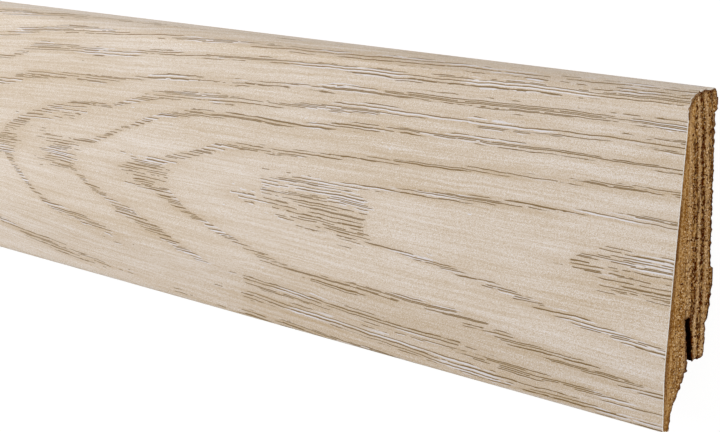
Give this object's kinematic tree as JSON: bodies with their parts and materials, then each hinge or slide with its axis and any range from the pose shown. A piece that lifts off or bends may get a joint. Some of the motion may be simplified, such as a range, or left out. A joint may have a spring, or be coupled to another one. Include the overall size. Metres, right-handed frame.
{
  "type": "skirting board",
  "caption": "Length of skirting board: a fibreboard core with a rounded top, a clip slot and a cable channel behind, its face wrapped in a pale oak-print decor foil.",
  "frame": {"origin": "middle of the board's length and height, in the plane of its back, on which it lies", "axes": "+X along the length, +Y from the floor edge to the top edge, +Z out of the back towards the decor face"},
  "size_m": [2.4, 0.08, 0.016],
  "materials": {
    "fibreboard": "sawn and milled fibreboard, matt",
    "oak_foil": "printed pale oak, satin, fine embossed pores"
  },
  "bodies": {
    "root": {"fibreboard_core": "fibreboard", "decor_foil": "oak_foil"}
  },
  "joints": []
}
